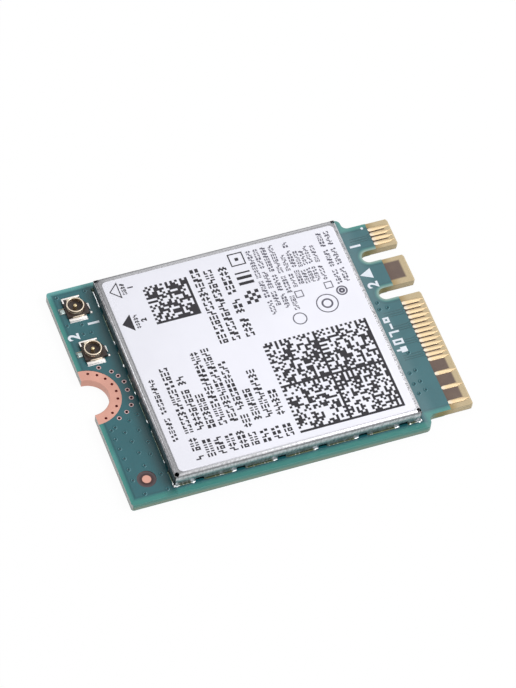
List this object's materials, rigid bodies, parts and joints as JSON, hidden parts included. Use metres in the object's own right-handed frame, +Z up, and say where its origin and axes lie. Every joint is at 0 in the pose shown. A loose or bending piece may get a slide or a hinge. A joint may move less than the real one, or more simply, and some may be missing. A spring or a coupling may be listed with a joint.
{
  "type": "ngff wireless network card",
  "caption": "Small plug-in wireless network card with a keyed gold edge connector, a half-round screw notch, antenna receptacles and a soldered shield can.",
  "frame": {"origin": "middle of the outer box, on the underside", "axes": "+X along the length, from the screw notch to the contact tongue; +Y across the board, to the side of the antenna receptacles; +Z up, from the underside to the shield can"},
  "size_m": [0.03, 0.022, 0.0023],
  "materials": {
    "laminate": "glass-epoxy laminate, semi-matt",
    "buried_copper": "copper under solder mask",
    "solder_mask": "teal green solder mask, satin gloss",
    "gold": "gold plating, satin",
    "bare_copper": "bare copper with a clear protective film",
    "tin": "tinned",
    "white_ink": "legend ink",
    "can_sheet": "tin-plated sheet, fine rolled grain",
    "solder": "bright reflowed solder",
    "label_film": "smooth white label",
    "black_ink": "printed ink",
    "moulded_epoxy": "moulded chip package",
    "pale_ceramic": "pale ceramic",
    "dark_ceramic": "dark ceramic",
    "tan_ceramic": "capacitor ceramic",
    "lid_metal": "plated lid",
    "ferrite": "dark ferrite",
    "resistor_glaze": "dark glaze",
    "socket_plastic": "dark brown moulding"
  },
  "bodies": {
    "root": {"board_core": "laminate", "inner_copper": "buried_copper", "copper_pour_top": "buried_copper", "copper_pour_bottom": "buried_copper", "solder_mask_top": "solder_mask", "solder_mask_bottom": "solder_mask", "contact_fingers_top": "gold", "contact_fingers_bottom": "gold", "screw_land": "bare_copper", "notch_vias": "bare_copper", "fiducials": "bare_copper", "test_pads": "tin", "board_legend": "white_ink", "shield_lands": "tin", "shield_can": "can_sheet", "shield_solder": "solder", "label": "label_film", "label_print": "black_ink", "antenna_1_base": "socket_plastic", "antenna_1_ring": "gold", "antenna_1_pin": "gold", "antenna_2_base": "socket_plastic", "antenna_2_ring": "gold", "antenna_2_pin": "gold", "antenna_pads": "tin", "antenna_solder": "solder", "component_pads": "tin", "component_solder": "solder", "radio_chip": "moulded_epoxy", "radio_chip_leads": "tin", "front_end_chips": "moulded_epoxy", "band_filters": "pale_ceramic", "crystal_base": "dark_ceramic", "crystal_lid": "lid_metal", "memory_chip": "moulded_epoxy", "regulator_chip": "moulded_epoxy", "power_inductors": "ferrite", "inductor_ends": "tin", "capacitors": "tan_ceramic", "capacitor_ends": "tin", "resistors": "resistor_glaze", "resistor_ends": "tin"}
  },
  "joints": []
}
